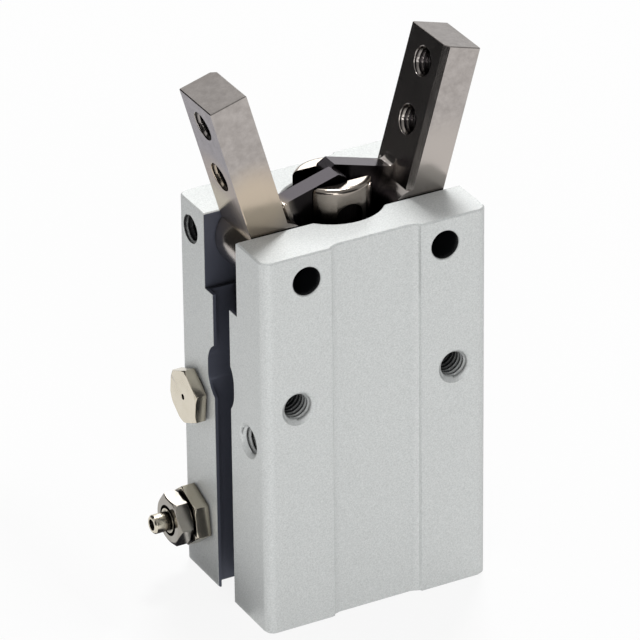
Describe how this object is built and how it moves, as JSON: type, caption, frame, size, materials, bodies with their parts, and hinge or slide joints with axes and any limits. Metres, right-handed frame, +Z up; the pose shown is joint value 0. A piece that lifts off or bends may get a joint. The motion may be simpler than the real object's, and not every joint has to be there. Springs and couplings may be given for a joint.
{
  "type": "angular pneumatic gripper",
  "caption": "Small angular air gripper: block body with a jaw slot, swinging bar fingers driven by a forked piston rod, sensor grooves, exhaust plug and hose fitting.",
  "frame": {"origin": "middle of the body's bottom face, at the centre of the four base holes", "axes": "+Z up along the piston, +X from the left finger to the right finger, -Y out of the front face with the two mounting holes"},
  "size_m": [0.0302, 0.0166, 0.0528],
  "materials": {
    "body_aluminium": "bead-blasted and clear anodised",
    "finger_steel": "hardened and ground",
    "pin_steel": "hardened and ground",
    "black_steel": "black oxide",
    "polished_steel": "hard chromed and polished",
    "turned_aluminium": "turned",
    "seal_rubber": "moulded nitrile rubber",
    "magnet": "plastic-bonded magnet",
    "zinc_steel": "zinc plated",
    "bronze": "sintered bronze",
    "spring_steel": "drawn and phosphated",
    "nickel_brass": "bright nickel plated",
    "gasket_nylon": "moulded nylon"
  },
  "bodies": {
    "housing": {"body": "body_aluminium", "pivot_pin_left": "pin_steel", "pivot_pin_right": "pin_steel", "set_screw_left": "black_steel", "set_screw_right": "black_steel", "rod_cover": "turned_aluminium", "rod_cover_oring": "seal_rubber", "rod_bush": "bronze", "rod_seal": "seal_rubber", "return_spring": "spring_steel", "end_cap": "turned_aluminium", "end_cap_oring": "seal_rubber", "retaining_ring": "spring_steel", "exhaust_plug": "nickel_brass", "exhaust_plug_gasket": "gasket_nylon", "exhaust_filter": "bronze", "hose_fitting": "nickel_brass", "hose_fitting_gasket": "gasket_nylon", "hose_cap_nut": "zinc_steel"},
    "piston_unit": {"piston_rod": "polished_steel", "drive_pin": "pin_steel", "piston": "turned_aluminium", "piston_seal": "seal_rubber", "magnet_ring": "magnet", "piston_nut": "zinc_steel"},
    "jaw_left": {"finger_left": "finger_steel"},
    "jaw_right": {"finger_right": "finger_steel"}
  },
  "joints": [
    {"name": "piston_slide", "type": "slide", "parent": "housing", "child": "piston_unit", "axis": [0, 0, -1], "range_m": [0, 0.00267], "stiffness_N_per_m": 300, "springref_m": 0.012, "deforming": ["return_spring"]},
    {"name": "finger_left_pivot", "type": "hinge", "parent": "housing", "child": "jaw_left", "pos_m": [-0.0071, 0, 0.0359], "axis": [0, 1, 0], "range_deg": [0, 21]},
    {"name": "finger_right_pivot", "type": "hinge", "parent": "housing", "child": "jaw_right", "pos_m": [0.0071, 0, 0.0359], "axis": [0, -1, 0], "range_deg": [0, 21]}
  ],
  "couplings": [
    {"joint": "finger_left_pivot", "follows": "piston_slide", "rad_per_m": 137.1},
    {"joint": "finger_right_pivot", "follows": "piston_slide", "rad_per_m": 137.1}
  ]
}
